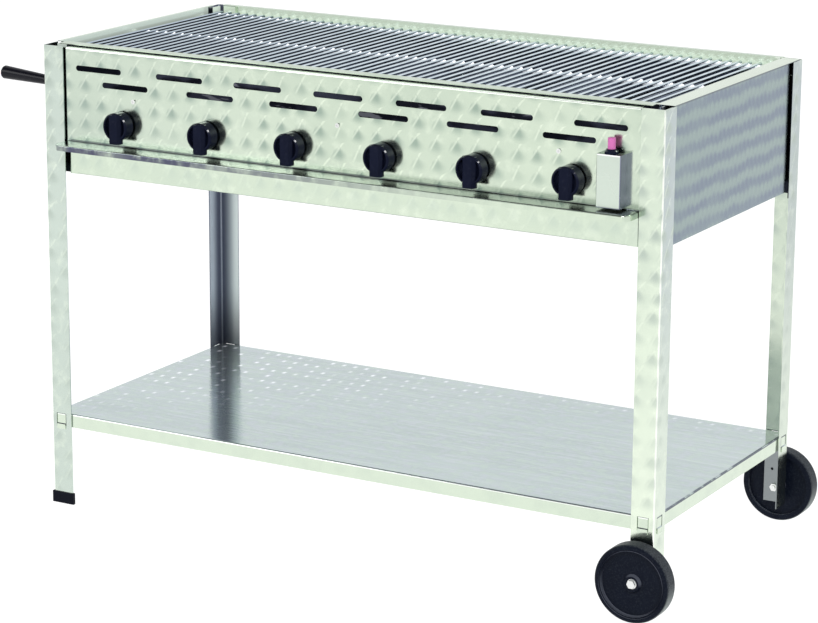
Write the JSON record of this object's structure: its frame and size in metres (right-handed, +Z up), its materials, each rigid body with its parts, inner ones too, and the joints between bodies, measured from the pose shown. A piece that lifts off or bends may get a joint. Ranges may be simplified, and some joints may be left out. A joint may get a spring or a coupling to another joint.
{
  "type": "gas roaster",
  "caption": "Wide gas grill on a wheeled stand: knob panel with a ledge, rod grates over tube burners, lower shelf, drip tray, side grips and a press igniter.",
  "frame": {"origin": "on the floor, under the middle of the whole object's outline", "axes": "+X towards the wheels, -Y towards the control panel, +Z up"},
  "size_m": [1.3612, 0.6474, 0.85],
  "materials": {
    "swirl_steel": "stainless sheet with an engine-turned pattern of overlapping swirls",
    "satin_steel": "stainless sheet, finely brushed, soft gloss",
    "plain_steel": "plain rolled stainless sheet",
    "wire_steel": "bright drawn stainless wire",
    "burner_steel": "drawn stainless tube, slightly heat tinted",
    "zinc": "bright zinc plating",
    "brass": "turned brass",
    "knob_plastic": "black moulded plastic, glossy",
    "grip_plastic": "black moulded plastic, polished",
    "wheel_plastic": "black moulded plastic, satin",
    "cap_plastic": "black moulded plastic cap",
    "button_plastic": "pink moulded plastic",
    "ceramic": "white glazed ceramic",
    "lead_sheath": "silicone cable sheath"
  },
  "bodies": {
    "roaster": {"leg_front_left": "swirl_steel", "leg_rear_left": "swirl_steel", "leg_front_right": "swirl_steel", "leg_rear_right": "swirl_steel", "left_wall": "swirl_steel", "right_wall": "swirl_steel", "rear_wall": "swirl_steel", "front_wall": "swirl_steel", "control_panel": "swirl_steel", "shelf": "satin_steel", "front_liner": "plain_steel", "rear_rail": "plain_steel", "igniter_box": "plain_steel", "flame_tamer_1": "plain_steel", "flame_tamer_2": "plain_steel", "flame_tamer_3": "plain_steel", "foot_front_left": "cap_plastic", "foot_rear_left": "cap_plastic", "axle_bolts": "zinc", "m8_nuts": "zinc", "panel_screws": "zinc", "stud_nuts": "zinc", "manifold_pipe": "zinc", "burner_1": "burner_steel", "gas_valve_1": "brass", "burner_2": "burner_steel", "gas_valve_2": "brass", "burner_3": "burner_steel", "gas_valve_3": "brass", "burner_4": "burner_steel", "gas_valve_4": "brass", "burner_5": "burner_steel", "gas_valve_5": "brass", "burner_6": "burner_steel", "gas_valve_6": "brass", "gas_inlet": "brass", "igniter_body": "knob_plastic", "igniter_nut": "knob_plastic", "handle_front": "grip_plastic", "handle_rear": "grip_plastic", "ignition_lead": "lead_sheath", "electrode": "ceramic"},
    "wheel_front": {"wheel_front": "wheel_plastic"},
    "wheel_rear": {"wheel_rear": "wheel_plastic"},
    "drip_tray": {"drip_tray": "plain_steel"},
    "grate_left": {"grate_left": "wire_steel"},
    "grate_right": {"grate_right": "wire_steel"},
    "igniter_button": {"igniter_button": "button_plastic"},
    "valve_spindle_1": {"valve_spindle_1": "zinc"},
    "valve_spindle_2": {"valve_spindle_2": "zinc"},
    "valve_spindle_3": {"valve_spindle_3": "zinc"},
    "valve_spindle_4": {"valve_spindle_4": "zinc"},
    "valve_spindle_5": {"valve_spindle_5": "zinc"},
    "valve_spindle_6": {"valve_spindle_6": "zinc"},
    "knob_1": {"knob_1": "knob_plastic"},
    "knob_2": {"knob_2": "knob_plastic"},
    "knob_3": {"knob_3": "knob_plastic"},
    "knob_4": {"knob_4": "knob_plastic"},
    "knob_5": {"knob_5": "knob_plastic"},
    "knob_6": {"knob_6": "knob_plastic"}
  },
  "joints": [
    {"name": "wheel_front_spin", "type": "hinge", "parent": "roaster", "child": "wheel_front", "pos_m": [0.61363, -0.30665, 0.067], "axis": [0, 1, 0], "continuous": true},
    {"name": "wheel_rear_spin", "type": "hinge", "parent": "roaster", "child": "wheel_rear", "pos_m": [0.61363, 0.30735, 0.067], "axis": [0, 1, 0], "continuous": true},
    {"name": "knob_1_turn", "type": "hinge", "parent": "roaster", "child": "valve_spindle_1", "pos_m": [-0.41037, -0.27765, 0.719], "axis": [0, -1, 0], "range_deg": [0, 180]},
    {"name": "knob_1_push", "type": "slide", "parent": "valve_spindle_1", "child": "knob_1", "axis": [0, 1, 0], "range_m": [0, 0.003], "stiffness_N_per_m": 1200, "springref_m": -0.002},
    {"name": "knob_2_turn", "type": "hinge", "parent": "roaster", "child": "valve_spindle_2", "pos_m": [-0.23437, -0.27765, 0.719], "axis": [0, -1, 0], "range_deg": [0, 180]},
    {"name": "knob_2_push", "type": "slide", "parent": "valve_spindle_2", "child": "knob_2", "axis": [0, 1, 0], "range_m": [0, 0.003], "stiffness_N_per_m": 1200, "springref_m": -0.002},
    {"name": "knob_3_turn", "type": "hinge", "parent": "roaster", "child": "valve_spindle_3", "pos_m": [-0.05837, -0.27765, 0.719], "axis": [0, -1, 0], "range_deg": [0, 180]},
    {"name": "knob_3_push", "type": "slide", "parent": "valve_spindle_3", "child": "knob_3", "axis": [0, 1, 0], "range_m": [0, 0.003], "stiffness_N_per_m": 1200, "springref_m": -0.002},
    {"name": "knob_4_turn", "type": "hinge", "parent": "roaster", "child": "valve_spindle_4", "pos_m": [0.11763, -0.27765, 0.719], "axis": [0, -1, 0], "range_deg": [0, 180]},
    {"name": "knob_4_push", "type": "slide", "parent": "valve_spindle_4", "child": "knob_4", "axis": [0, 1, 0], "range_m": [0, 0.003], "stiffness_N_per_m": 1200, "springref_m": -0.002},
    {"name": "knob_5_turn", "type": "hinge", "parent": "roaster", "child": "valve_spindle_5", "pos_m": [0.29363, -0.27765, 0.719], "axis": [0, -1, 0], "range_deg": [0, 180]},
    {"name": "knob_5_push", "type": "slide", "parent": "valve_spindle_5", "child": "knob_5", "axis": [0, 1, 0], "range_m": [0, 0.003], "stiffness_N_per_m": 1200, "springref_m": -0.002},
    {"name": "knob_6_turn", "type": "hinge", "parent": "roaster", "child": "valve_spindle_6", "pos_m": [0.46963, -0.27765, 0.719], "axis": [0, -1, 0], "range_deg": [0, 180]},
    {"name": "knob_6_push", "type": "slide", "parent": "valve_spindle_6", "child": "knob_6", "axis": [0, 1, 0], "range_m": [0, 0.003], "stiffness_N_per_m": 1200, "springref_m": -0.002},
    {"name": "igniter_press", "type": "slide", "parent": "roaster", "child": "igniter_button", "axis": [0, 0, -1], "range_m": [0, 0.006], "stiffness_N_per_m": 1500, "springref_m": -0.003},
    {"name": "grate_left_lift", "type": "slide", "parent": "roaster", "child": "grate_left", "axis": [0, 0, 1], "range_m": [0, 0.15]},
    {"name": "grate_right_lift", "type": "slide", "parent": "roaster", "child": "grate_right", "axis": [0, 0, 1], "range_m": [0, 0.15]},
    {"name": "drip_tray_slide", "type": "slide", "parent": "roaster", "child": "drip_tray", "axis": [0, 1, 0], "range_m": [0, 0.42]}
  ]
}
